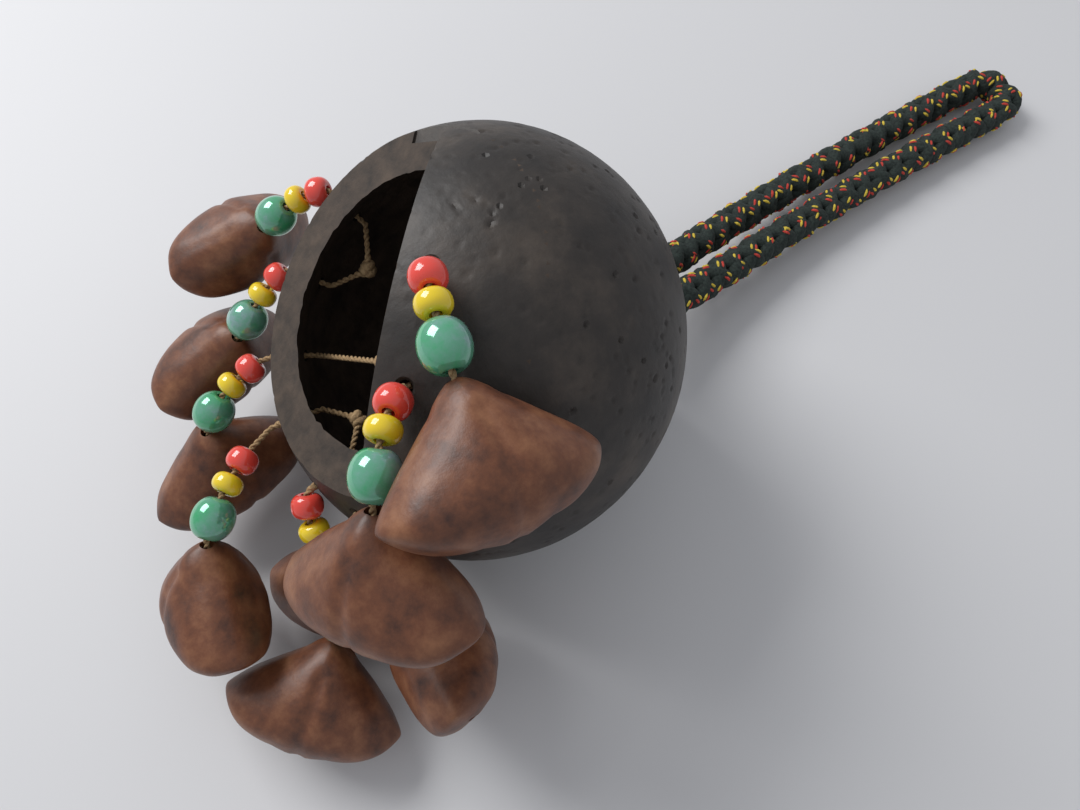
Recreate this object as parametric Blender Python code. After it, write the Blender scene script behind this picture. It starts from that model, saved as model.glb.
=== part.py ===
"""Nutshell shaker: a saw-cut coconut shell hung with hollow nuts on beaded twines.

The shell lies on its side as on a table: +Z up, the handle towards +X, the mouth
towards -X. The origin is on the table under the middle of the shell. Metres, degrees.
"""
import math

import bmesh
import bpy
from mathutils import Matrix, Vector

# Coconut shell
SHELL_RADIUS = 0.0423          # outside, across the mouth's axis
SHELL_MOUTH_RADIUS = 0.0397    # outside, along the mouth's axis, where the nut is flatter
SHELL_WALL = 0.0059
REST_FLAT_DEPTH = 0.0003       # how far the shell is rubbed flat where it rests

# The mouth is a wedge made by two saw cuts. Each cut's normal is given by azimuth and
# elevation, and its offset is the distance from the middle of the shell.
NEAR_CUT_AZIMUTH, NEAR_CUT_ELEVATION, NEAR_CUT_OFFSET = 133.2, 7.0, 0.0121
FAR_CUT_AZIMUTH, FAR_CUT_ELEVATION, FAR_CUT_OFFSET = 162.3, 52.9, 0.0251
KERF_WIDTH, KERF_OVERRUN, KERF_DEPTH = 0.0008, 0.0080, 0.0030

# Lacing holes along the lips, and the hole for the handle
LACING_HOLE_RADIUS = 0.0012
LACING_FLARE_RADIUS = 0.0019
LACING_FLARE_DEPTH = 0.0007
LACING_SETBACK = 0.0055        # from the lip's outer edge to the middle of the hole
HANDLE_AZIMUTH, HANDLE_ELEVATION = 0.0, -26.8
HANDLE_HOLE_CLEARANCE = 0.0004

# Twine and beads
TWINE_RADIUS = 0.0006
TWINE_STOP_RADIUS = 0.0009     # the thick turn of twine that sits in the lacing hole
TWINE_KNOT_RADIUS = 0.0016     # the knot inside a nut
TWINE_RISE = 0.0012            # how far a twine stands out of its hole before it bends
RED_BEAD_RADIUS, RED_BEAD_LENGTH = 0.0030, 0.0046
YELLOW_BEAD_RADIUS, YELLOW_BEAD_LENGTH = 0.0029, 0.0038
GREEN_BEAD_RADIUS = 0.0040
BEAD_BORE_RADIUS = 0.0010
BEAD_GAP = 0.0006

# Nut: a hollow stone with two lobes, pointed at both ends
NUT_LENGTH = 0.0350
NUT_HEIGHT = 0.0245
NUT_THICKNESS = 0.0190
NUT_WALL = 0.0018
NUT_TIP_DROP = 0.0158          # from the crown down to the tips
NUT_BORE_RADIUS = 0.0013
NUT_SLIT_WIDTH = 0.0011
NUT_GAP = 0.0005               # between the green bead and the nut's crown

# Handle: a braid folded into a loop, both ends through one hole and knotted inside
BRAID_RADIUS = 0.0046
BRAID_SPACING = 0.0096
LOOP_END_RADIUS = 0.0060
HANDLE_LENGTH = 0.1430
HANDLE_KNOT_CORD_RADIUS = 0.0040
HANDLE_KNOT_RADIUS = 0.0110
JOIN_GAP = 0.0003

# One row for each hanger, in order round the mouth. "lip" and "along" place its hole:
# degrees round the lip's circle. "crown" is where the nut's crown hangs from its twine,
# "up" is the heading of the crown and "long" that of the nut's long axis.
HANGERS = [
    {"lip": "far", "along": 51, "crown": (-0.0207, 0.0482, 0.0451), "up": (-64.3, 48.9), "long": (-169.4, 12.5)},
    {"lip": "far", "along": 79, "crown": (-0.0371, 0.0354, 0.0342), "up": (-49.2, 56.4), "long": (21.3, -12.5)},
    {"lip": "far", "along": 107, "crown": (-0.0526, 0.0223, 0.03), "up": (54.8, 81.7), "long": (-172.7, 15.9)},
    {"lip": "far", "along": 130, "crown": (-0.0625, -0.0012, 0.0337), "up": (45.5, 54.1), "long": (86.0, -19.3)},
    {"lip": "far", "along": 157, "crown": (-0.0458, -0.0174, 0.0254), "up": (-11.4, 85), "long": (-54.1, -30.1)},
    {"lip": "far", "along": 178, "crown": (-0.0527, -0.0266, 0.0205), "up": (30.4, 34.3), "long": (-28.6, 4.8)},
    {"lip": "near", "along": -137, "crown": (-0.0427, -0.0311, 0.0291), "up": (109.7, 30.6), "long": (65.9, -50.7)},
    {"lip": "near", "along": -110, "crown": (-0.0358, -0.0293, 0.0709), "up": (52.1, 55.6), "long": (-60.8, 15.4)},
    {"lip": "near", "along": -84, "crown": (-0.0175, -0.0243, 0.082), "up": (75.9, 27.9), "long": (-6.2, -14.6)},
]

# Pairs of holes that one inner twine laces together, as places in HANGERS
LACINGS = [(0, 1), (2, 7), (3, 4), (5, 6), (8, None)]
LACING_START_DEPTH = 0.0016
LACING_KNOT_RADIUS = 0.0019
LACING_TAIL = 0.0120


def direction(azimuth, elevation):
    """Unit vector for an azimuth and an elevation in degrees."""
    a, e = math.radians(azimuth), math.radians(elevation)
    return Vector((math.cos(e) * math.cos(a), math.cos(e) * math.sin(a), math.sin(e)))


def material(name, colour, roughness, metallic=0.0):
    """A Principled material with one plain colour."""
    result = bpy.data.materials.new(name)
    result.use_nodes = True
    result.diffuse_color = (*colour, 1.0)
    shader = result.node_tree.nodes["Principled BSDF"]
    shader.inputs["Base Color"].default_value = (*colour, 1.0)
    shader.inputs["Roughness"].default_value = roughness
    shader.inputs["Metallic"].default_value = metallic
    return result

def add(name, bm, surface, hollow=()):
    """Turn a bmesh into an object of its own. Faces in hollow line a cavity."""
    bmesh.ops.recalc_face_normals(bm, faces=bm.faces)
    if hollow:
        bmesh.ops.reverse_faces(bm, faces=list(hollow))
    mesh = bpy.data.meshes.new(name)
    bm.to_mesh(mesh)
    bm.free()
    item = bpy.data.objects.new(name, mesh)
    mesh.materials.append(surface)
    bpy.context.scene.collection.objects.link(item)
    return item


def tube(points, radii, sides=8):
    """A closed tube through points, with a radius at each."""
    bm = bmesh.new()
    count = len(points)
    side = None
    rings = []
    for i, point in enumerate(points):
        before = points[max(i - 1, 0)]
        after = points[min(i + 1, count - 1)]
        along = (after - before).normalized()
        if side is None:
            side = along.orthogonal().normalized()
        side = (side - along * side.dot(along)).normalized()
        other = along.cross(side)
        ring = []
        for k in range(sides):
            turn = 2 * math.pi * k / sides
            ring.append(bm.verts.new(point + (side * math.cos(turn) + other * math.sin(turn)) * radii[i]))
        rings.append(ring)
    for first, second in zip(rings, rings[1:]):
        for k in range(sides):
            n = (k + 1) % sides
            bm.faces.new((first[k], first[n], second[n], second[k]))
    bm.faces.new(rings[0][::-1])
    bm.faces.new(rings[-1])
    return bm


def lathe(profile, segments, closed):
    """Turn (radius, height) points round Z. A closed profile makes a ring with a bore."""
    bm = bmesh.new()
    rings = []
    for radius, height in profile:
        ring = []
        for k in range(segments):
            turn = 2 * math.pi * k / segments
            ring.append(bm.verts.new((radius * math.cos(turn), radius * math.sin(turn), height)))
        rings.append(ring)
    pairs = list(zip(rings, rings[1:]))
    if closed:
        pairs.append((rings[-1], rings[0]))
    for first, second in pairs:
        for k in range(segments):
            n = (k + 1) % segments
            bm.faces.new((first[k], first[n], second[n], second[k]))
    if not closed:
        bm.faces.new(rings[0])
        bm.faces.new(rings[-1])
    return bm


def box(size, centre, axes):
    """A box with its edges along three axes."""
    bm = bmesh.new()
    bmesh.ops.create_cube(bm, size=1.0)
    turn = Matrix((axes[0], axes[1], axes[2])).transposed()
    for vert in bm.verts:
        local = Vector((vert.co[i] * size[i] for i in range(3)))
        vert.co = turn @ local + centre
    return bm


def aim(axis):
    """Rotation that takes +Z to an axis."""
    return axis.to_track_quat("Z", "Y").to_matrix()


def cut(target, cutters):
    """Subtract each cutter from the target."""
    for bm in cutters:
        cutter = add("cutter", bm, target.data.materials[0])
        step = target.modifiers.new("cut", "BOOLEAN")
        step.operation = "DIFFERENCE"
        step.solver = "EXACT"
        step.object = cutter
        mesh = bpy.data.meshes.new_from_object(target.evaluated_get(bpy.context.evaluated_depsgraph_get()))
        target.modifiers.clear()
        target.data = mesh
        bpy.data.objects.remove(cutter)


def tidy(item):
    """Weld what a cut left almost touching, and make triangles."""
    bm = bmesh.new()
    bm.from_mesh(item.data)
    bmesh.ops.remove_doubles(bm, verts=bm.verts, dist=0.00002)
    bmesh.ops.dissolve_degenerate(bm, edges=bm.edges, dist=0.00002)
    bmesh.ops.triangulate(bm, faces=bm.faces)
    bm.to_mesh(item.data)
    bm.free()


for item in list(bpy.data.objects):
    bpy.data.objects.remove(item)

SHELL_BROWN = material("shell", (0.045, 0.035, 0.028), 0.6)
NUT_BROWN = material("nut", (0.22, 0.09, 0.04), 0.45)
RED = material("red_bead", (0.85, 0.09, 0.06), 0.15)
YELLOW = material("yellow_bead", (0.90, 0.68, 0.03), 0.15)
GREEN = material("green_bead", (0.10, 0.50, 0.22), 0.12)
TWINE = material("twine", (0.45, 0.32, 0.18), 0.85)
BRAID = material("braid", (0.02, 0.03, 0.025), 0.8)

# Shell's middle, the mouth's axis, and the stretch along it
NEAR_CUT = direction(NEAR_CUT_AZIMUTH, NEAR_CUT_ELEVATION)
FAR_CUT = direction(FAR_CUT_AZIMUTH, FAR_CUT_ELEVATION)
MOUTH_AXIS = (Vector((-0.697, 0.504, 0.511))).normalized()
FLATNESS = SHELL_MOUTH_RADIUS / SHELL_RADIUS
STRETCH = Matrix.Identity(3)
for i in range(3):
    for j in range(3):
        STRETCH[i][j] += (FLATNESS - 1.0) * MOUTH_AXIS[i] * MOUTH_AXIS[j]
MIDDLE = Vector((0.0, 0.0, SHELL_RADIUS * (STRETCH @ Vector((0, 0, 1))).length - REST_FLAT_DEPTH))


def lip_hole(lip, along):
    """Where a lacing hole comes out of the shell, and the shell's normal there."""
    normal, offset = (NEAR_CUT, NEAR_CUT_OFFSET) if lip == "near" else (FAR_CUT, FAR_CUT_OFFSET)
    seen = STRETCH @ normal * SHELL_RADIUS
    pole = seen.normalized()
    angle = math.acos(offset / seen.length) + LACING_SETBACK / SHELL_RADIUS
    edge = NEAR_CUT.cross(FAR_CUT).normalized()
    first = (edge - pole * edge.dot(pole)).normalized()
    second = pole.cross(first)
    turn = math.radians(along)
    unit = pole * math.cos(angle) + (first * math.cos(turn) + second * math.sin(turn)) * math.sin(angle)
    return MIDDLE + STRETCH @ unit * SHELL_RADIUS, (STRETCH.inverted() @ unit).normalized()


def make_shell():
    """The nut's shell: a stretched hollow ball, cut open, drilled and rubbed flat."""
    bm = bmesh.new()
    bmesh.ops.create_icosphere(bm, subdivisions=4, radius=SHELL_RADIUS)
    for vert in bm.verts:
        vert.co = STRETCH @ vert.co + MIDDLE
    inner = bmesh.ops.create_icosphere(bm, subdivisions=4, radius=SHELL_RADIUS - SHELL_WALL)["verts"]
    for vert in inner:
        vert.co = STRETCH @ vert.co + MIDDLE
    faces = {face for vert in inner for face in vert.link_faces}
    shell = add("coconut_shell", bm, SHELL_BROWN, faces)
    reach = SHELL_RADIUS * 3
    wedge = bmesh.new()
    bmesh.ops.create_cube(wedge, size=reach * 2)
    for vert in wedge.verts:
        vert.co += MIDDLE
    for normal, offset in ((NEAR_CUT, NEAR_CUT_OFFSET), (FAR_CUT, FAR_CUT_OFFSET)):
        parts = list(wedge.verts) + list(wedge.edges) + list(wedge.faces)
        result = bmesh.ops.bisect_plane(wedge, geom=parts, plane_co=MIDDLE + normal * offset,
                                        plane_no=normal, clear_inner=True)
        edges = [part for part in result["geom_cut"] if isinstance(part, bmesh.types.BMEdge)]
        bmesh.ops.contextual_create(wedge, geom=edges)
    cutters = [wedge]
    for row in HANGERS:
        place, normal = lip_hole(row["lip"], row["along"])
        deep = SHELL_WALL * 1.6
        bm = lathe([(LACING_HOLE_RADIUS, -deep), (LACING_HOLE_RADIUS, -LACING_FLARE_DEPTH),
                    (LACING_FLARE_RADIUS, 0.0), (LACING_FLARE_RADIUS * 1.5, 0.0012)], 12, False)
        turn = aim(normal)
        for vert in bm.verts:
            vert.co = turn @ vert.co + place
        cutters.append(bm)
    out = direction(HANDLE_AZIMUTH, HANDLE_ELEVATION)
    hole = BRAID_SPACING / 2 + BRAID_RADIUS + HANDLE_HOLE_CLEARANCE
    bm = lathe([(hole, SHELL_RADIUS * 0.6), (hole, SHELL_RADIUS * 1.2)], 32, False)
    turn = aim(out)
    for vert in bm.verts:
        vert.co = turn @ vert.co + MIDDLE
    cutters.append(bm)
    below = Vector((0, 0, -SHELL_RADIUS / 2))
    cutters.append(box((reach, reach, SHELL_RADIUS), below, (Vector((1, 0, 0)), Vector((0, 1, 0)), Vector((0, 0, 1)))))
    cut(shell, cutters)
    tidy(shell)
    return shell


def nut_section(u, wall):
    """Half width, middle height and half height of the nut at u from -1 to 1."""
    half, height, drop = NUT_LENGTH / 2, NUT_HEIGHT, -NUT_TIP_DROP
    soft = 0.22
    top = drop * (math.sqrt(u * u + soft * soft) - soft) / (math.sqrt(1 + soft * soft) - soft)
    base = -height + (height + drop) * abs(u) ** 2.4
    close = math.sqrt(max(0.0, 1 - u ** 8))
    tall = ((top - base) / 2 * 0.9 + 0.0022 * abs(u) ** 2) * close
    if abs(u) < 0.3:
        tall = tall + (height / 2 * 0.1) * (1 - abs(u) / 0.3)
    wide = (NUT_THICKNESS / 2 * (1 - abs(u) ** 1.9) ** 0.75 + 0.0034 * abs(u) ** 2) * close
    return max(wide - wall, 0.0002), (top + base) / 2, max(tall - wall, 0.0002)


def nut_skin(bm, wall, reach, stations, around):
    """One closed skin of the nut."""
    half = NUT_LENGTH / 2
    rings = []
    for i in range(1, stations):
        u = -math.cos(math.pi * i / stations) * reach
        wide, middle, tall = nut_section(u, wall)
        ring = []
        for k in range(around):
            f = 2 * math.pi * k / around
            y = wide * math.cos(f) * (1 - 0.28 * math.sin(f))
            ring.append(bm.verts.new((half * u, y, middle + tall * math.sin(f))))
        rings.append(ring)
    ends = []
    for sign in (-1, 1):
        middle = nut_section(sign * reach, wall)[1]
        ends.append(bm.verts.new((half * sign * (reach + (0.0 if reach == 1 else 0.01)), 0, middle)))
    for first, second in zip(rings, rings[1:]):
        for k in range(around):
            n = (k + 1) % around
            bm.faces.new((first[k], first[n], second[n], second[k]))
    for k in range(around):
        n = (k + 1) % around
        bm.faces.new((ends[0], rings[0][n], rings[0][k]))
        bm.faces.new((ends[1], rings[-1][k], rings[-1][n]))


def make_nut():
    """The nut in its own axes: crown at the origin, long axis X, crown up Z."""
    bm = bmesh.new()
    nut_skin(bm, 0.0, 1.0, 12, 14)
    outer = len(bm.faces)
    nut_skin(bm, NUT_WALL, 0.84, 10, 12)
    bm.faces.ensure_lookup_table()
    nut = add("nut", bm, NUT_BROWN, bm.faces[outer:])
    axes = (Vector((1, 0, 0)), Vector((0, 1, 0)), Vector((0, 0, 1)))
    bore = lathe([(NUT_BORE_RADIUS, -NUT_WALL * 2.5), (NUT_BORE_RADIUS, NUT_WALL)], 12, False)
    cutters = [bore]
    for sign in (-1, 1):
        middle = Vector((sign * NUT_LENGTH * 0.28, 0, -NUT_HEIGHT + 0.0035))
        cutters.append(box((NUT_LENGTH * 0.26, NUT_SLIT_WIDTH, 0.0090), middle, axes))
    cut(nut, cutters)
    tidy(nut)
    return nut


def bead_bm(radius, length, power=2.2):
    """A bored bead along Z, its middle at the origin."""
    bore = BEAD_BORE_RADIUS
    profile = [(bore, -length / 2 * 0.94), (bore, length / 2 * 0.94)]
    steps = 7
    for i in range(steps):
        f = math.radians(78 - 156 * i / (steps - 1))
        s = math.copysign(abs(math.sin(f)) ** (2 / power), f)
        c = math.cos(f) ** (2 / power)
        profile.append((bore + (radius - bore) * c, length / 2 * s))
    return lathe(profile, 12, True)


def bezier(a, b, c, d, t):
    s = 1 - t
    return a * s ** 3 + b * 3 * s * s * t + c * 3 * s * t * t + d * t ** 3


def chain(place, normal, crown, up):
    """Points of the twine's way, and the two ends of each bead on it."""
    need = RED_BEAD_LENGTH + YELLOW_BEAD_LENGTH + 2 * GREEN_BEAD_RADIUS + 3 * BEAD_GAP + 0.0006
    start = place + normal * TWINE_RISE
    finish = crown + up * NUT_GAP
    pull = 0.2
    while True:
        span = (finish - start).length * pull
        points = [bezier(start, start + normal * span, finish + up * span, finish, i / 120) for i in range(121)]
        length = sum((b - a).length for a, b in zip(points, points[1:]))
        if length > need or pull > 3:
            break
        pull += 0.05
    spots = []
    here = 120
    for size in (2 * GREEN_BEAD_RADIUS, YELLOW_BEAD_LENGTH, RED_BEAD_LENGTH):
        low = here
        while low > 0 and (points[low] - points[here]).length < size:
            low -= 1
        spots.append((points[low], points[here]))
        nxt = low
        while nxt > 0 and (points[nxt] - points[low]).length < BEAD_GAP:
            nxt -= 1
        here = nxt
    return [points[i] for i in range(0, here + 1, 12)], spots[::-1]


def bore_place(name):
    """Empty that marks a joint."""
    spot = bpy.data.objects.new(name, None)
    bpy.context.scene.collection.objects.link(spot)
    return spot


def make_hanger(number, row, nut_mesh):
    """Twine, three beads and a nut, hung from one lacing hole."""
    place, normal = lip_hole(row["lip"], row["along"])
    crown = Vector(row["crown"])
    up = direction(*row["up"])
    along = direction(*row["long"])
    along = (along - up * along.dot(up)).normalized()
    bare, spots = chain(place, normal, crown, up)
    path = [place + normal * -0.0003, place + normal * 0.0004, place + normal * 0.0010]
    radii = [TWINE_RADIUS * 0.8, TWINE_STOP_RADIUS, TWINE_RADIUS]
    for point in bare[:-1]:
        if (point - path[-1]).length > 0.0008 and (point - spots[0][0]).length > 0.0008:
            path.append(point)
            radii.append(TWINE_RADIUS)
    for low, high in spots:
        path += [low, (low + high) / 2, high]
        radii += [TWINE_RADIUS] * 3
    path += [crown - up * (NUT_WALL * 0.6), crown - up * (NUT_WALL + 0.0008), crown - up * (NUT_WALL + 0.0022),
             crown - up * (NUT_WALL + 0.0036)]
    radii += [TWINE_RADIUS, TWINE_RADIUS, TWINE_KNOT_RADIUS, TWINE_RADIUS]
    add(f"twine_{number}", tube(path, radii), TWINE)
    colours = (("red_bead", RED, RED_BEAD_RADIUS, RED_BEAD_LENGTH), ("yellow_bead", YELLOW, YELLOW_BEAD_RADIUS,
               YELLOW_BEAD_LENGTH), ("green_bead", GREEN, GREEN_BEAD_RADIUS, 2 * GREEN_BEAD_RADIUS))
    for (name, colour, radius, length), (low, high) in zip(colours, spots):
        bm = bead_bm(radius, length, 2.0 if name == "green_bead" else 2.3)
        turn = aim((high - low).normalized())
        for vert in bm.verts:
            vert.co = turn @ vert.co + (low + high) / 2
        add(f"{name}_{number}", bm, colour)
    nut = bpy.data.objects.new(f"nut_{number}", nut_mesh.copy())
    bpy.context.scene.collection.objects.link(nut)
    turn = Matrix((along, up.cross(along), up)).transposed()
    nut.data.transform(turn.to_4x4())
    pivot = crown - up * (NUT_WALL / 2)
    nut.data.transform(Matrix.Translation(crown - pivot))
    nut.location = pivot


def make_lacing(number, pair):
    """One twine inside the shell, knotted between two holes, or ending in a tail."""
    ends = [lip_hole(HANGERS[k]["lip"], HANGERS[k]["along"]) for k in pair if k is not None]
    ways = []
    for place, normal in ends:
        ways.append([place - normal * LACING_START_DEPTH, place - normal * (SHELL_WALL + 0.002)])
    if len(ways) == 1:
        inside = ways[0][1] + (MIDDLE - ways[0][1]).normalized() * LACING_TAIL
        ways.append([inside + Vector((0, 0, -LACING_TAIL / 2)), inside])
    one, two = ways
    knot = (one[1] + two[1]) / 2 + (MIDDLE - (one[1] + two[1]) / 2) * 0.16
    way = [one[0], one[1]]
    for i in range(1, 8):
        way.append(bezier(one[1], one[1].lerp(knot, 0.6), one[1].lerp(knot, 0.9), knot, i / 8))
    back = [two[0], two[1]]
    for i in range(1, 8):
        back.append(bezier(two[1], two[1].lerp(knot, 0.6), two[1].lerp(knot, 0.9), knot, i / 8))
    path = way + [knot] + back[::-1]
    radii = [TWINE_RADIUS] * len(path)
    radii[len(way)] = LACING_KNOT_RADIUS
    add(f"inner_lacing_{number}", tube(path, radii), TWINE)


# Handle: the two legs leave the shell side by side and meet in the loop's end
HANDLE_OUT = direction(HANDLE_AZIMUTH, HANDLE_ELEVATION)
HANDLE_PIVOT = MIDDLE + HANDLE_OUT * (SHELL_RADIUS + BRAID_RADIUS + 0.0012)
FLOOR_CLEARANCE = 0.0006


def handle_line(t):
    """Middle line of the handle, from its pivot at t = 0 to the loop's end at t = 1."""
    low = BRAID_RADIUS + FLOOR_CLEARANCE
    start = HANDLE_PIVOT
    reach = Vector((HANDLE_LENGTH - LOOP_END_RADIUS, 0, 0))
    finish = Vector((start.x, 0, low)) + reach
    return bezier(start, start + HANDLE_OUT * 0.018, Vector((start.x + 0.045, 0.008, low)), finish, t)


def make_handle():
    """A round braid folded into a loop."""
    left, right = [], []
    steps = 24
    for i in range(steps + 1):
        t = i / steps
        point = handle_line(t)
        spread = BRAID_SPACING / 2 + (LOOP_END_RADIUS - BRAID_SPACING / 2) * t
        left.append(point + Vector((0, spread, 0)))
        right.append(point - Vector((0, spread, 0)))
    middle = handle_line(1.0)
    turn = [middle + Vector((math.sin(math.radians(a)), math.cos(math.radians(a)), 0)) * LOOP_END_RADIUS
            for a in range(20, 180, 20)]
    path = left + turn + right[::-1]
    along = HANDLE_OUT * -BRAID_RADIUS
    path = [left[0] + along * 0.8] + path + [right[0] + along * 0.8]
    radii = [BRAID_RADIUS * 0.6] + [BRAID_RADIUS] * (len(path) - 2) + [BRAID_RADIUS * 0.6]
    handle = add("braided_handle", tube(path, radii, 12), BRAID)
    handle.data.transform(Matrix.Translation(-HANDLE_PIVOT))
    handle.location = HANDLE_PIVOT


def make_knot():
    """The stubs in the hole and the loop knot that holds them inside."""
    out = HANDLE_OUT
    side = Vector((0, 1, 0))
    radius = HANDLE_KNOT_CORD_RADIUS
    root = MIDDLE + out * (SHELL_RADIUS + 0.0008)
    far = SHELL_WALL + radius
    way = []
    for depth, spread in ((0.0, BRAID_SPACING / 2), (far, BRAID_SPACING / 2), (far + 0.005, HANDLE_KNOT_RADIUS * 0.75),
                          (far + 0.010, HANDLE_KNOT_RADIUS), (far + 0.016, HANDLE_KNOT_RADIUS * 0.75),
                          (far + 0.0185, 0.0035)):
        way.append(root - out * depth + side * spread)
    mirror = [point - side * (2 * (point - root).dot(side)) for point in way]
    path = way + mirror[::-1]
    add("handle_knot", tube(path, [radius] * len(path), 12), BRAID)


make_shell()
nut = make_nut()
template = nut.data
bpy.data.objects.remove(nut)
for number, row in enumerate(HANGERS, 1):
    make_hanger(number, row, template)
for number, pair in enumerate(LACINGS, 1):
    make_lacing(number, pair)
make_handle()
make_knot()
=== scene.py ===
# Looks of the nutshell shaker, posed by the CAD frame. Metres, +Z up.
import math
import time

import bmesh
import bpy
from mathutils import Matrix, Vector, noise


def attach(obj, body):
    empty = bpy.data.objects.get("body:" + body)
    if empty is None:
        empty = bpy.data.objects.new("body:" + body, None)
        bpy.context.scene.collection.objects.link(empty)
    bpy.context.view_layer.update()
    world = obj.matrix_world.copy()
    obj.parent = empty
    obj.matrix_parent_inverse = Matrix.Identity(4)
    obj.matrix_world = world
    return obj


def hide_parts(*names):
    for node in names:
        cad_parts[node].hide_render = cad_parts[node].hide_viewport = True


startTime = time.time()
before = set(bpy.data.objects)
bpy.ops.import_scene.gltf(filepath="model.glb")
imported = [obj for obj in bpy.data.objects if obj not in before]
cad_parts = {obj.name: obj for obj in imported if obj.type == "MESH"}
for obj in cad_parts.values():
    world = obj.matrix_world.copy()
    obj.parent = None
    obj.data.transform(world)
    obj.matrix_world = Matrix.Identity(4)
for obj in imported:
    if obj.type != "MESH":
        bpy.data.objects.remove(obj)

# Coconut shell
shellRadius = 0.0423          # outside, across the mouth's axis
shellMouthRadius = 0.0397    # outside, along the mouth's axis, where the nut is flatter
shellWall = 0.0059
restFlatDepth = 0.0003       # how far the shell is rubbed flat where it rests

# The mouth is a wedge made by two saw cuts. Each cut's normal is given by azimuth and
# elevation, and its offset is the distance from the middle of the shell.
nearCutAzimuth, nearCutElevation, nearCutOffset = 133.2, 7.0, 0.0121
farCutAzimuth, farCutElevation, farCutOffset = 162.3, 52.9, 0.0251
kerfWidth, kerfOverrun = 0.0008, 0.0080
kerfCorner = (0.0106, 0.0209, 0.0760)   # where the two cuts meet on the outside
cutTolerance = 0.00004                  # a face this near a cut is painted as cut

# Lacing holes along the lips, and the hole for the handle
lacingHoleRadius = 0.0012
lacingFlareRadius = 0.0019
lacingFlareDepth = 0.0007
lacingSetback = 0.0055        # from the lip's outer edge to the middle of the hole
handleAzimuth, handleElevation = 0.0, -26.8
handleHoleClearance = 0.0004

# Twine and beads
twineRadius = 0.0006
twineStopRadius = 0.0009     # the thick turn of twine that sits in the lacing hole
twineKnotRadius = 0.0016     # the knot inside a nut
twineRise = 0.0012            # how far a twine stands out of its hole before it bends
redBeadRadius, redBeadLength = 0.0030, 0.0046
yellowBeadRadius, yellowBeadLength = 0.0029, 0.0038
greenBeadRadius = 0.0040
beadBoreRadius = 0.0010
beadGap = 0.0006

# Nut: a hollow stone with two lobes, pointed at both ends
nutLength = 0.0350
nutHeight = 0.0245
nutThickness = 0.0190
nutWall = 0.0018
nutTipDrop = 0.0158          # from the crown down to the tips
nutBoreRadius = 0.0013
nutSlitWidth = 0.0011
nutGap = 0.0005               # between the green bead and the nut's crown

# Handle: a braid folded into a loop, both ends through one hole and knotted inside
braidRadius = 0.0046
braidSpacing = 0.0096
loopEndRadius = 0.0060
handleLength = 0.1430

# One row for each hanger, in order round the mouth. "lip" and "along" place its hole:
# degrees round the lip's circle. "crown" is where the nut's crown hangs from its twine,
# "up" is the heading of the crown and "long" that of the nut's long axis.
hangers = [
    {"lip": "far", "along": 51, "crown": (-0.0207, 0.0482, 0.0451),
     "up": (-64.3, 48.9), "long": (-169.4, 12.5)},
    {"lip": "far", "along": 79, "crown": (-0.0371, 0.0354, 0.0342),
     "up": (-49.2, 56.4), "long": (21.3, -12.5)},
    {"lip": "far", "along": 107, "crown": (-0.0526, 0.0223, 0.03),
     "up": (54.8, 81.7), "long": (-172.7, 15.9)},
    {"lip": "far", "along": 130, "crown": (-0.0625, -0.0012, 0.0337),
     "up": (45.5, 54.1), "long": (86.0, -19.3)},
    {"lip": "far", "along": 157, "crown": (-0.0458, -0.0174, 0.0254),
     "up": (-11.4, 85), "long": (-54.1, -30.1)},
    {"lip": "far", "along": 178, "crown": (-0.0527, -0.0266, 0.0205),
     "up": (30.4, 34.3), "long": (-28.6, 4.8)},
    {"lip": "near", "along": -137, "crown": (-0.0427, -0.0311, 0.0291),
     "up": (109.7, 30.6), "long": (65.9, -50.7)},
    {"lip": "near", "along": -110, "crown": (-0.0358, -0.0293, 0.0709),
     "up": (52.1, 55.6), "long": (-60.8, 15.4)},
    {"lip": "near", "along": -84, "crown": (-0.0175, -0.0243, 0.082),
     "up": (75.9, 27.9), "long": (-6.2, -14.6)},
]


def say(text):
    print(f"{time.time() - startTime:.1f} s {text}", flush=True)


# Unit vector for an azimuth and an elevation in degrees
def direction(azimuth, elevation):
    a, e = math.radians(azimuth), math.radians(elevation)
    return Vector((math.cos(e) * math.cos(a), math.cos(e) * math.sin(a), math.sin(e)))


# A closed tube through points, with a radius at each
def tube(points, radii, sides=8):
    bm = bmesh.new()
    count = len(points)
    side = None
    rings = []
    for i, point in enumerate(points):
        before = points[max(i - 1, 0)]
        after = points[min(i + 1, count - 1)]
        along = (after - before).normalized()
        if side is None:
            side = along.orthogonal().normalized()
        side = (side - along * side.dot(along)).normalized()
        other = along.cross(side)
        ring = []
        for k in range(sides):
            turn = 2 * math.pi * k / sides
            ring.append(bm.verts.new(point + (side * math.cos(turn) + other * math.sin(turn)) * radii[i]))
        rings.append(ring)
    for first, second in zip(rings, rings[1:]):
        for k in range(sides):
            n = (k + 1) % sides
            bm.faces.new((first[k], first[n], second[n], second[k]))
    bm.faces.new(rings[0][::-1])
    bm.faces.new(rings[-1])
    return bm


# Turn (radius, height) points round Z. A closed profile makes a ring with a bore
def lathe(profile, segments, closed):
    bm = bmesh.new()
    rings = []
    for radius, height in profile:
        ring = []
        for k in range(segments):
            turn = 2 * math.pi * k / segments
            ring.append(bm.verts.new((radius * math.cos(turn), radius * math.sin(turn), height)))
        rings.append(ring)
    pairs = list(zip(rings, rings[1:]))
    if closed:
        pairs.append((rings[-1], rings[0]))
    for first, second in pairs:
        for k in range(segments):
            n = (k + 1) % segments
            bm.faces.new((first[k], first[n], second[n], second[k]))
    if not closed:
        bm.faces.new(rings[0])
        bm.faces.new(rings[-1])
    return bm


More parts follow.
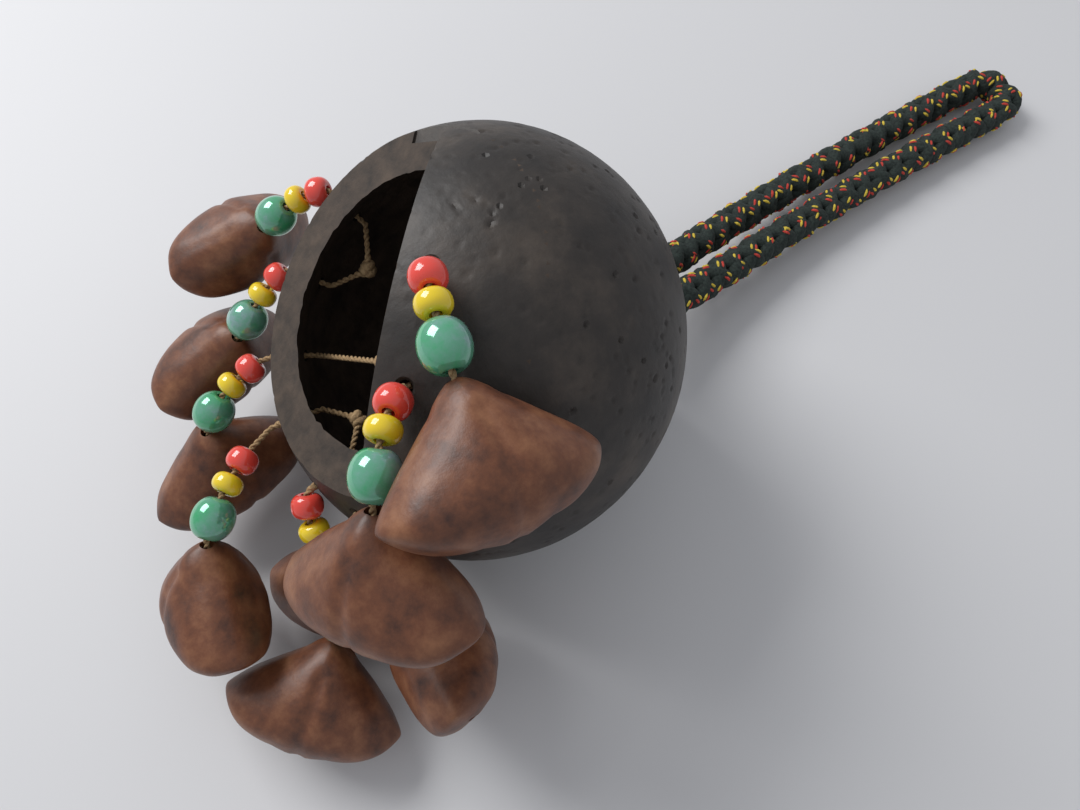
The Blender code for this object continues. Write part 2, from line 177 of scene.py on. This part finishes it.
# A box with its edges along three axes
def box(size, centre, axes):
    bm = bmesh.new()
    bmesh.ops.create_cube(bm, size=1.0)
    turn = Matrix((axes[0], axes[1], axes[2])).transposed()
    for vert in bm.verts:
        local = Vector((vert.co[i] * size[i] for i in range(3)))
        vert.co = turn @ local + centre
    return bm


# Rotation that takes +Z to an axis
def aim(axis):
    return axis.to_track_quat("Z", "Y").to_matrix()


def nodeMaterial(name, build):
    result = bpy.data.materials.new(name)
    result.use_nodes = True
    tree = result.node_tree
    shader = tree.nodes["Principled BSDF"]
    coords = tree.nodes.new("ShaderNodeTexCoord")
    build(tree, shader, coords.outputs["Object"])
    return result


def noiseRamp(tree, coords, scale, stops, detail=6.0, stretch=None):
    source = coords
    if stretch:
        mapping = tree.nodes.new("ShaderNodeMapping")
        mapping.inputs["Scale"].default_value = stretch
        tree.links.new(coords, mapping.inputs["Vector"])
        source = mapping.outputs["Vector"]
    field = tree.nodes.new("ShaderNodeTexNoise")
    field.inputs["Scale"].default_value = scale
    field.inputs["Detail"].default_value = detail
    field.inputs["Roughness"].default_value = 0.65
    tree.links.new(source, field.inputs["Vector"])
    ramp = tree.nodes.new("ShaderNodeValToRGB")
    ramp.color_ramp.elements[0].position = stops[0][0]
    ramp.color_ramp.elements[0].color = (*stops[0][1], 1)
    ramp.color_ramp.elements[1].position = stops[-1][0]
    ramp.color_ramp.elements[1].color = (*stops[-1][1], 1)
    for place, colour in stops[1:-1]:
        ramp.color_ramp.elements.new(place).color = (*colour, 1)
    tree.links.new(field.outputs["Fac"], ramp.inputs["Fac"])
    return field.outputs["Fac"], ramp.outputs["Color"]


def bump(tree, shader, height, strength, distance):
    node = tree.nodes.new("ShaderNodeBump")
    node.inputs["Strength"].default_value = strength
    node.inputs["Distance"].default_value = distance
    tree.links.new(height, node.inputs["Height"])
    tree.links.new(node.outputs["Normal"], shader.inputs["Normal"])


def shellLook(tree, shader, coords):
    fac, colour = noiseRamp(tree, coords, 60, [(0.3, (0.012, 0.010, 0.009)), (0.5, (0.030, 0.024, 0.020)),
                                               (0.72, (0.075, 0.058, 0.045))])
    fine, other = noiseRamp(tree, coords, 420, [(0.3, (0, 0, 0)), (0.7, (1, 1, 1))], 8.0, (1, 1, 0.25))
    tree.links.new(colour, shader.inputs["Base Color"])
    shader.inputs["Roughness"].default_value = 0.52
    bump(tree, shader, fine, 0.45, 0.0003)


def cutLook(tree, shader, coords):
    fac, colour = noiseRamp(tree, coords, 220, [(0.3, (0.022, 0.016, 0.012)), (0.7, (0.085, 0.058, 0.040))])
    tree.links.new(colour, shader.inputs["Base Color"])
    shader.inputs["Roughness"].default_value = 0.75
    bump(tree, shader, fac, 0.7, 0.0004)


def nutLook(tree, shader, coords):
    fac, colour = noiseRamp(tree, coords, 150, [(0.28, (0.045, 0.016, 0.010)), (0.5, (0.160, 0.055, 0.024)),
                                                (0.75, (0.300, 0.130, 0.060))])
    fine, other = noiseRamp(tree, coords, 900, [(0.3, (0, 0, 0)), (0.7, (1, 1, 1))])
    tree.links.new(colour, shader.inputs["Base Color"])
    shader.inputs["Roughness"].default_value = 0.42
    bump(tree, shader, fine, 0.35, 0.0002)


def beadLook(colour, rough, paintedSheen):
    def build(tree, shader, coords):
        shader.inputs["Base Color"].default_value = (*colour, 1)
        shader.inputs["Roughness"].default_value = rough
        shader.inputs["Coat Weight"].default_value = 0.6
        shader.inputs["Coat Roughness"].default_value = 0.05
        # Painted sheen: pink-purple and pale-green patches of painted highlight are mixed into the base
        # colour to stand in for the pearl's lustre
        if paintedSheen:
            shader.inputs["Metallic"].default_value = 0.25
            paintedPearlSheen = [(0.35, colour), (0.55, (0.16, 0.42, 0.30)), (0.8, (0.45, 0.38, 0.62))]
            fac, sheenTint = noiseRamp(tree, coords, 130, paintedPearlSheen)
            tree.links.new(sheenTint, shader.inputs["Base Color"])
    return build


def clothLook(low, high):
    def build(tree, shader, coords):
        fac, colour = noiseRamp(tree, coords, 1500, [(0.3, low), (0.7, high)], 3.0)
        tree.links.new(colour, shader.inputs["Base Color"])
        shader.inputs["Roughness"].default_value = 0.9
        bump(tree, shader, fac, 0.8, 0.0003)
    return build


looks = {
    "shell": nodeMaterial("shellLook", shellLook),
    "cut": nodeMaterial("cutLook", cutLook),
    "nut": nodeMaterial("nutLook", nutLook),
    "red": nodeMaterial("redLook", beadLook((0.80, 0.07, 0.05), 0.12, False)),
    "yellow": nodeMaterial("yellowLook", beadLook((0.85, 0.62, 0.02), 0.12, False)),
    # The green bead's base colour carries a painted pearl sheen (painted highlight patches)
    "green": nodeMaterial("greenLook", beadLook((0.05, 0.42, 0.17), 0.10, True)),
    "twine": nodeMaterial("twineLook", clothLook((0.22, 0.13, 0.06), (0.55, 0.38, 0.20))),
    "braid": nodeMaterial("braidLook", clothLook((0.006, 0.010, 0.009), (0.030, 0.045, 0.038))),
    "redFleck": nodeMaterial("redFleckLook", clothLook((0.40, 0.03, 0.02), (0.65, 0.07, 0.05))),
    "yellowFleck": nodeMaterial("yellowFleckLook", clothLook((0.50, 0.36, 0.03), (0.80, 0.62, 0.08))),
}


def pieceFrom(name, bm, surfaces, hollow=()):
    bmesh.ops.recalc_face_normals(bm, faces=bm.faces)
    if hollow:
        bmesh.ops.reverse_faces(bm, faces=list(hollow))
    mesh = bpy.data.meshes.new(name)
    bm.to_mesh(mesh)
    bm.free()
    item = bpy.data.objects.new(name, mesh)
    for surface in surfaces:
        mesh.materials.append(surface)
    bpy.context.scene.collection.objects.link(item)
    return item


def cut(target, cutters):
    for bm in cutters:
        cutter = pieceFrom("cutter", bm, [looks["cut"]])
        step = target.modifiers.new("cut", "BOOLEAN")
        step.operation = "DIFFERENCE"
        step.solver = "EXACT"
        step.object = cutter
        mesh = bpy.data.meshes.new_from_object(target.evaluated_get(bpy.context.evaluated_depsgraph_get()))
        target.modifiers.clear()
        target.data = mesh
        bpy.data.objects.remove(cutter)


def soften(item, angle=38):
    for polygon in item.data.polygons:
        polygon.use_smooth = True
    bpy.context.view_layer.objects.active = item
    item.select_set(True)
    bpy.ops.object.shade_smooth_by_angle(angle=math.radians(angle))
    item.select_set(False)


# Shell's middle, the mouth's axis, and the stretch along it
nearCut = direction(nearCutAzimuth, nearCutElevation)
farCut = direction(farCutAzimuth, farCutElevation)
mouthAxis = (Vector((-0.697, 0.504, 0.511))).normalized()
mouthFlatness = shellMouthRadius / shellRadius
shellStretch = Matrix.Identity(3)
for i in range(3):
    for j in range(3):
        shellStretch[i][j] += (mouthFlatness - 1.0) * mouthAxis[i] * mouthAxis[j]
shellMiddle = Vector((0.0, 0.0, shellRadius * (shellStretch @ Vector((0, 0, 1))).length - restFlatDepth))


# Where a lacing hole comes out of the shell, and the shell's normal there
def lipHole(lip, along):
    normal, offset = (nearCut, nearCutOffset) if lip == "near" else (farCut, farCutOffset)
    seen = shellStretch @ normal * shellRadius
    pole = seen.normalized()
    angle = math.acos(offset / seen.length) + lacingSetback / shellRadius
    edge = nearCut.cross(farCut).normalized()
    first = (edge - pole * edge.dot(pole)).normalized()
    second = pole.cross(first)
    turn = math.radians(along)
    unit = pole * math.cos(angle) + (first * math.cos(turn) + second * math.sin(turn)) * math.sin(angle)
    return shellMiddle + shellStretch @ unit * shellRadius, (shellStretch.inverted() @ unit).normalized()


def makeShell():
    bm = bmesh.new()
    bmesh.ops.create_icosphere(bm, subdivisions=7, radius=shellRadius)
    for vert in bm.verts:
        unit = vert.co.normalized()
        rough = noise.noise(unit * 9) * 0.5 + noise.noise(unit * 34) * 0.25
        pit = max(0.0, noise.noise(unit * 52 + Vector((3, 1, 7))) - 0.42) * 3
        depth = 0.00010 + 0.00012 * rough + 0.0005 * min(pit, 1.0)
        vert.co = shellStretch @ (unit * (shellRadius - max(0.0, depth))) + shellMiddle
    inner = bmesh.ops.create_icosphere(bm, subdivisions=6, radius=shellRadius - shellWall)["verts"]
    for vert in inner:
        unit = vert.co.normalized()
        radius = shellRadius - shellWall + 0.0004 * noise.noise(unit * 20)
        vert.co = shellStretch @ (unit * radius) + shellMiddle
    faces = {face for vert in inner for face in vert.link_faces}
    shell = pieceFrom("shellSkin", bm, [looks["shell"], looks["cut"]], faces)
    reach = shellRadius * 3
    wedge = bmesh.new()
    bmesh.ops.create_cube(wedge, size=reach * 2)
    for vert in wedge.verts:
        vert.co += shellMiddle
    for normal, offset in ((nearCut, nearCutOffset), (farCut, farCutOffset)):
        parts = list(wedge.verts) + list(wedge.edges) + list(wedge.faces)
        result = bmesh.ops.bisect_plane(wedge, geom=parts, plane_co=shellMiddle + normal * offset,
                                        plane_no=normal, clear_inner=True)
        edges = [part for part in result["geom_cut"] if isinstance(part, bmesh.types.BMEdge)]
        bmesh.ops.contextual_create(wedge, geom=edges)
    cutters = [wedge]
    for row in hangers:
        place, normal = lipHole(row["lip"], row["along"])
        bm = lathe([(lacingHoleRadius, -shellWall * 1.6), (lacingHoleRadius, -lacingFlareDepth),
                    (lacingFlareRadius, 0.0), (lacingFlareRadius * 1.5, 0.0012)], 32, False)
        turn = aim(normal)
        for vert in bm.verts:
            vert.co = turn @ vert.co + place
        cutters.append(bm)
    out = direction(handleAzimuth, handleElevation)
    hole = braidSpacing / 2 + braidRadius + handleHoleClearance
    bm = lathe([(hole, shellRadius * 0.6), (hole, shellRadius * 1.2)], 64, False)
    turn = aim(out)
    for vert in bm.verts:
        vert.co = turn @ vert.co + shellMiddle
    cutters.append(bm)
    corner = Vector(kerfCorner)
    slide = -(nearCut - farCut * nearCut.dot(farCut)).normalized()
    across = farCut.cross(slide)
    kerf = (kerfOverrun * 2, shellWall * 0.9, kerfWidth)
    cutters.append(box(kerf, corner - farCut * kerfWidth / 2, (slide, across, farCut)))
    axes = (Vector((1, 0, 0)), Vector((0, 1, 0)), Vector((0, 0, 1)))
    cutters.append(box((reach, reach, shellRadius), Vector((0, 0, -shellRadius / 2)), axes))
    cut(shell, cutters)
    for polygon in shell.data.polygons:
        place = polygon.center - shellMiddle
        radius = (shellStretch.inverted() @ place).length
        onNear = abs(place.dot(nearCut) - nearCutOffset) < cutTolerance
        onFar = abs(place.dot(farCut) - farCutOffset) < cutTolerance
        polygon.material_index = 1 if onNear or onFar or radius < shellRadius - shellWall * 0.7 else 0
    soften(shell, 32)
    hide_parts("coconut_shell")
    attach(shell, "shell")


# Half width, middle height and half height of the nut at u from -1 to 1
def nutSection(u, wall):
    height = nutHeight
    drop = -nutTipDrop
    soft = 0.22
    top = drop * (math.sqrt(u * u + soft * soft) - soft) / (math.sqrt(1 + soft * soft) - soft)
    base = -height + (height + drop) * abs(u) ** 2.4
    close = math.sqrt(max(0.0, 1 - u ** 8))
    tall = ((top - base) / 2 * 0.9 + 0.0022 * abs(u) ** 2) * close
    if abs(u) < 0.3:
        tall = tall + (height / 2 * 0.1) * (1 - abs(u) / 0.3)
    wide = (nutThickness / 2 * (1 - abs(u) ** 1.9) ** 0.75 + 0.0034 * abs(u) ** 2) * close
    return max(wide - wall, 0.0002), (top + base) / 2, max(tall - wall, 0.0002)


# One closed skin of the nut
def nutSkin(bm, wall, reach, stations, around):
    half = nutLength / 2
    rings = []
    for i in range(1, stations):
        u = -math.cos(math.pi * i / stations) * reach
        wide, middle, tall = nutSection(u, wall)
        ring = []
        for k in range(around):
            f = 2 * math.pi * k / around
            y = wide * math.cos(f) * (1 - 0.28 * math.sin(f))
            ring.append(bm.verts.new((half * u, y, middle + tall * math.sin(f))))
        rings.append(ring)
    ends = []
    for sign in (-1, 1):
        middle = nutSection(sign * reach, wall)[1]
        ends.append(bm.verts.new((half * sign * (reach + (0.0 if reach == 1 else 0.01)), 0, middle)))
    for first, second in zip(rings, rings[1:]):
        for k in range(around):
            n = (k + 1) % around
            bm.faces.new((first[k], first[n], second[n], second[k]))
    for k in range(around):
        n = (k + 1) % around
        bm.faces.new((ends[0], rings[0][n], rings[0][k]))
        bm.faces.new((ends[1], rings[-1][k], rings[-1][n]))


def makeNuts():
    bm = bmesh.new()
    nutSkin(bm, 0.0, 1.0, 72, 72)
    outer = len(bm.faces)
    nutSkin(bm, nutWall, 0.84, 30, 32)
    bm.faces.ensure_lookup_table()
    template = pieceFrom("nutTemplate", bm, [looks["nut"]], bm.faces[outer:])
    axes = (Vector((1, 0, 0)), Vector((0, 1, 0)), Vector((0, 0, 1)))
    cutters = [lathe([(nutBoreRadius, -nutWall * 2.5), (nutBoreRadius, nutWall)], 24, False)]
    for sign in (-1, 1):
        middle = Vector((sign * nutLength * 0.28, 0, -nutHeight + 0.0035))
        cutters.append(box((nutLength * 0.26, nutSlitWidth, 0.0090), middle, axes))
    cut(template, cutters)
    data = template.data
    bpy.data.objects.remove(template)
    for number, row in enumerate(hangers, 1):
        mesh = data.copy()
        shift = Vector((number * 7.3, number * 3.1, 0))
        for vert in mesh.vertices:
            p = vert.co
            wide, middle, tall = nutSection(max(-1.0, min(1.0, p.x / (nutLength / 2))), 0.0)
            rough = 0.5 + 0.5 * noise.noise(p * 160 + shift)
            groove = math.exp(-(p.x / 0.0011) ** 2) if p.z < -0.004 else 0.0
            ridge = 0.5 + 0.5 * math.sin(p.y * 1400 + 3 * noise.noise(p * 90 + shift))
            amount = 0.00035 * rough + 0.0006 * groove + 0.00012 * ridge
            vert.co -= Vector((0, p.y, p.z - middle)).normalized() * amount * (1 if p.z < -0.003 else 0.3)
        up = direction(*row["up"])
        along = direction(*row["long"])
        along = (along - up * along.dot(up)).normalized()
        turn = Matrix((along, up.cross(along), up)).transposed()
        mesh.transform(Matrix.Translation(Vector(row["crown"])) @ turn.to_4x4())
        nut = bpy.data.objects.new(f"nutSkin{number}", mesh)
        bpy.context.scene.collection.objects.link(nut)
        soften(nut, 40)
        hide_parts(f"nut_{number}")
        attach(nut, f"nut_body_{number}")


def bezier(a, b, c, d, t):
    s = 1 - t
    return a * s ** 3 + b * 3 * s * s * t + c * 3 * s * t * t + d * t ** 3


# Handle: the two legs leave the shell side by side and meet in the loop's end
handleOut = direction(handleAzimuth, handleElevation)
handlePivot = shellMiddle + handleOut * (shellRadius + braidRadius + 0.0012)
floorClearance = 0.0006


# Middle line of the handle, from its pivot at t = 0 to the loop's end at t = 1
def handleLine(t):
    low = braidRadius + floorClearance
    start = handlePivot
    reach = Vector((handleLength - loopEndRadius, 0, 0))
    finish = Vector((start.x, 0, low)) + reach
    return bezier(start, start + handleOut * 0.018, Vector((start.x + 0.045, 0.008, low)), finish, t)


lacings = [(0, 1), (2, 7), (3, 4), (5, 6), (8, None)]
lacingStartDepth = 0.0016
lacingKnotRadius = 0.0019
lacingTail = 0.0120


# Points of the twine's way, and the two ends of each bead on it
def chain(place, normal, crown, up):
    need = redBeadLength + yellowBeadLength + 2 * greenBeadRadius + 3 * beadGap + 0.0006
    start = place + normal * twineRise
    finish = crown + up * nutGap
    pull = 0.2
    while True:
        span = (finish - start).length * pull
        leave, arrive = start + normal * span, finish + up * span
        points = [bezier(start, leave, arrive, finish, i / 120) for i in range(121)]
        length = sum((b - a).length for a, b in zip(points, points[1:]))
        if length > need or pull > 3:
            break
        pull += 0.05
    spots = []
    here = 120
    for size in (2 * greenBeadRadius, yellowBeadLength, redBeadLength):
        low = here
        while low > 0 and (points[low] - points[here]).length < size:
            low -= 1
        spots.append((points[low], points[here]))
        nxt = low
        while nxt > 0 and (points[nxt] - points[low]).length < beadGap:
            nxt -= 1
        here = nxt
    return [points[i] for i in range(0, here + 1, 12)], spots[::-1]


# A bored bead along Z, its middle at the origin
def beadMesh(radius, length, power=2.2):
    bore = beadBoreRadius
    profile = [(bore, -length / 2 * 0.94), (bore, length / 2 * 0.94)]
    steps = 25
    for i in range(steps):
        f = math.radians(78 - 156 * i / (steps - 1))
        s = math.copysign(abs(math.sin(f)) ** (2 / power), f)
        c = math.cos(f) ** (2 / power)
        profile.append((bore + (radius - bore) * c, length / 2 * s))
    return lathe(profile, 40, True)


def twisted(points, knots, name, node, body):
    lengths = [0.0]
    for a, b in zip(points, points[1:]):
        lengths.append(lengths[-1] + (b - a).length)
    total = lengths[-1]
    count = max(12, int(total / 0.00025))
    at = 0
    rows = []
    for i in range(count + 1):
        want = total * i / count
        while at < len(lengths) - 2 and lengths[at + 1] < want:
            at += 1
        t = (want - lengths[at]) / max(1e-9, lengths[at + 1] - lengths[at])
        rows.append((points[at].lerp(points[at + 1], t), want))
    plies = bmesh.new()
    for ply in range(2):
        line, radii = [], []
        side = None
        for i, (point, s) in enumerate(rows):
            along = (rows[min(i + 2, count)][0] - rows[max(i - 2, 0)][0]).normalized()
            if side is None:
                side = along.orthogonal().normalized()
            side = (side - along * side.dot(along)).normalized()
            angle = 2 * math.pi * s / 0.0026 + math.pi * ply
            swell = 1.0
            for middle, size in knots:
                swell += (size / twineRadius - 1.0) * math.exp(-((point - middle).length / (size * 0.8)) ** 2)
            outward = side * math.cos(angle) + along.cross(side) * math.sin(angle)
            line.append(point + outward * 0.00027 * swell)
            radii.append(0.00032 * swell)
        part = tube(line, radii, 8)
        mesh = bpy.data.meshes.new("ply")
        part.to_mesh(mesh)
        part.free()
        plies.from_mesh(mesh)
    item = pieceFrom(name, plies, [looks["twine"]])
    soften(item, 70)
    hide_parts(node)
    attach(item, body)


def makeHangers():
    for number, row in enumerate(hangers, 1):
        place, normal = lipHole(row["lip"], row["along"])
        crown = Vector(row["crown"])
        up = direction(*row["up"])
        bare, spots = chain(place, normal, crown, up)
        path = [place - normal * 0.0003, place + normal * 0.0004, place + normal * 0.0010]
        for point in bare[:-1]:
            if (point - path[-1]).length > 0.0008 and (point - spots[0][0]).length > 0.0008:
                path.append(point)
        for low, high in spots:
            path += [low, (low + high) / 2, high]
        path += [crown - up * nutWall * 0.6, crown - up * (nutWall + 0.0036)]
        knots = [(place + normal * 0.0004, twineStopRadius),
                 (crown - up * (nutWall + 0.0022), twineKnotRadius)]
        twisted(path, knots, f"twinePlies{number}", f"twine_{number}", f"hanger_{number}")
        kinds = (("red", redBeadRadius, redBeadLength), ("yellow", yellowBeadRadius, yellowBeadLength),
                 ("green", greenBeadRadius, 2 * greenBeadRadius))
        for (colour, radius, length), (low, high) in zip(kinds, spots):
            bm = beadMesh(radius, length, 2.0 if colour == "green" else 2.3)
            turn = aim((high - low).normalized())
            for vert in bm.verts:
                vert.co = turn @ vert.co + (low + high) / 2
            bead = pieceFrom(f"{colour}Bead{number}", bm, [looks[colour]])
            soften(bead, 50)
            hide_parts(f"{colour}_bead_{number}")
            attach(bead, f"hanger_{number}")


def makeLacings():
    for number, pair in enumerate(lacings, 1):
        ends = [lipHole(hangers[k]["lip"], hangers[k]["along"]) for k in pair if k is not None]
        ways = [[place - normal * lacingStartDepth, place - normal * (shellWall + 0.002)]
                for place, normal in ends]
        if len(ways) == 1:
            inside = ways[0][1] + (shellMiddle - ways[0][1]).normalized() * lacingTail
            ways.append([inside + Vector((0, 0, -lacingTail / 2)), inside])
        one, two = ways
        knot = (one[1] + two[1]) / 2 + (shellMiddle - (one[1] + two[1]) / 2) * 0.16
        lines = []
        for way in (one, two):
            line = list(way)
            for i in range(1, 8):
                line.append(bezier(way[1], way[1].lerp(knot, 0.6), way[1].lerp(knot, 0.9), knot, i / 8))
            lines.append(line)
        path = lines[0] + [knot] + lines[1][::-1]
        twisted(path, [(knot, lacingKnotRadius)], f"lacingPlies{number}", f"inner_lacing_{number}", "shell")


def legPath():
    left, right = [], []
    steps = 60
    for i in range(steps + 1):
        t = i / steps
        point = handleLine(t)
        spread = braidSpacing / 2 + (loopEndRadius - braidSpacing / 2) * t
        left.append(point + Vector((0, spread, 0)))
        right.append(point - Vector((0, spread, 0)))
    middle = handleLine(1.0)
    turn = [middle + Vector((math.sin(math.radians(a)), math.cos(math.radians(a)), 0)) * loopEndRadius
            for a in range(10, 180, 10)]
    return left + turn + right[::-1]


def makeBraid():
    path = legPath()
    lengths = [0.0]
    for a, b in zip(path, path[1:]):
        lengths.append(lengths[-1] + (b - a).length)
    total = lengths[-1]
    pitch = 0.0125
    strandRadius = 0.00195
    count = int(total / 0.0006)
    frames = []
    at = 0
    for i in range(count + 1):
        want = total * i / count
        while at < len(lengths) - 2 and lengths[at + 1] < want:
            at += 1
        t = (want - lengths[at]) / max(1e-9, lengths[at + 1] - lengths[at])
        point = path[at].lerp(path[at + 1], t)
        ahead = path[min(at + 2, len(path) - 1)] - path[max(at - 1, 0)]
        along = ahead.normalized()
        side = (along.cross(Vector((0, 0, 1)))).normalized()
        frames.append((point, side, side.cross(along), want))
    flecks = {"redFleck": bmesh.new(), "yellowFleck": bmesh.new()}
    body = bmesh.new()
    for strand in range(4):
        way = 1 if strand % 2 else -1
        start = math.pi * (strand // 2) + (math.pi / 4 if way > 0 else 0)
        points = []
        for point, side, other, s in frames:
            angle = way * 2 * math.pi * s / pitch + start
            weave = math.cos(2 * (2 * math.pi * s / pitch) + way * math.pi / 2 + start)
            radius = (braidRadius - strandRadius) * (0.86 + 0.10 * weave)
            points.append(point + (side * math.cos(angle) + other * math.sin(angle)) * radius)
        part = tube(points, [strandRadius * 0.98] * len(points), 12)
        mesh = bpy.data.meshes.new("strand")
        part.to_mesh(mesh)
        part.free()
        body.from_mesh(mesh)
        step = int(pitch / 4 / (total / count))
        for number, i in enumerate(range(step, len(points) - step, step)):
            point, side, other, s = frames[i]
            outward = (points[i] - point).normalized()
            along = (points[i + 1] - points[i - 1]).normalized()
            across = along.cross(outward)
            for shift, name in ((-0.0006, "redFleck"), (0.0006, "yellowFleck")):
                middle = points[i] + outward * (strandRadius - 0.00012) + across * shift
                middle -= outward * 0.00012
                line = [middle + along * d for d in (-0.0011, -0.0004, 0.0004, 0.0011)]
                line[0] -= outward * 0.0003
                line[-1] -= outward * 0.0003
                spot = tube(line, [0.00015, 0.00036, 0.00036, 0.00015], 6)
                mesh = bpy.data.meshes.new("fleck")
                spot.to_mesh(mesh)
                spot.free()
                flecks[name].from_mesh(mesh)
    braid = pieceFrom("braidStrands", body, [looks["braid"]])
    soften(braid, 60)
    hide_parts("braided_handle")
    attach(braid, "handle")
    for name, bm in flecks.items():
        item = pieceFrom(name, bm, [looks[name]])
        soften(item, 60)
        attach(item, "handle")


makeShell()
say("shell")
makeNuts()
say("nuts")
makeBraid()
say("braid")
makeHangers()
makeLacings()
say("hangers")
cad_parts["handle_knot"].data.materials.clear()
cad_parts["handle_knot"].data.materials.append(looks["braid"])

# Floor, lights, camera
floor = bpy.data.objects.new("floor", bpy.data.meshes.new("floor"))
floor.data.from_pydata([(-3, -3, 0), (3, -3, 0), (3, 3, 0), (-3, 3, 0)], [], [(0, 1, 2, 3)])
paint = bpy.data.materials.new("floorPaint")
paint.use_nodes = True
paint.node_tree.nodes["Principled BSDF"].inputs["Base Color"].default_value = (0.66, 0.66, 0.67, 1)
paint.node_tree.nodes["Principled BSDF"].inputs["Roughness"].default_value = 0.6
floor.data.materials.append(paint)
bpy.context.scene.collection.objects.link(floor)
sun = bpy.data.objects.new("window", bpy.data.lights.new("window", "AREA"))
sun.data.energy = 6.5
sun.data.size = 0.5
sun.location = (-0.20, 0.62, 0.66)
sun.rotation_euler = (Vector((0, 0, 0.03)) - sun.location).to_track_quat("-Z", "Y").to_euler()
bpy.context.scene.collection.objects.link(sun)
world = bpy.data.worlds.new("room")
world.use_nodes = True
world.node_tree.nodes["Background"].inputs["Color"].default_value = (0.93, 0.95, 1.0, 1)
world.node_tree.nodes["Background"].inputs["Strength"].default_value = 0.5
bpy.context.scene.world = world
camera = bpy.data.objects.new("camera", bpy.data.cameras.new("camera"))
right = Vector((0.803, -0.596, 0.0)).normalized()
ahead = Vector((0.271, 0.3646, -0.891)).normalized()
up = right.cross(ahead)
cameraTurn = Matrix((right, up, -ahead)).transposed().to_4x4()
camera.matrix_world = Matrix.Translation((-0.0401, -0.0745, 0.1789)) @ cameraTurn
camera.data.sensor_fit = "HORIZONTAL"
camera.data.angle = 2 * math.atan(540 / 811)
camera.data.clip_start = 0.005
bpy.context.scene.collection.objects.link(camera)
bpy.context.scene.camera = camera
scene = bpy.context.scene
scene.render.engine = "CYCLES"
scene.cycles.samples = 64
scene.render.resolution_x, scene.render.resolution_y = 1080, 810
scene.view_settings.view_transform = "Standard"
scene.view_settings.look = "None"
say("stage")
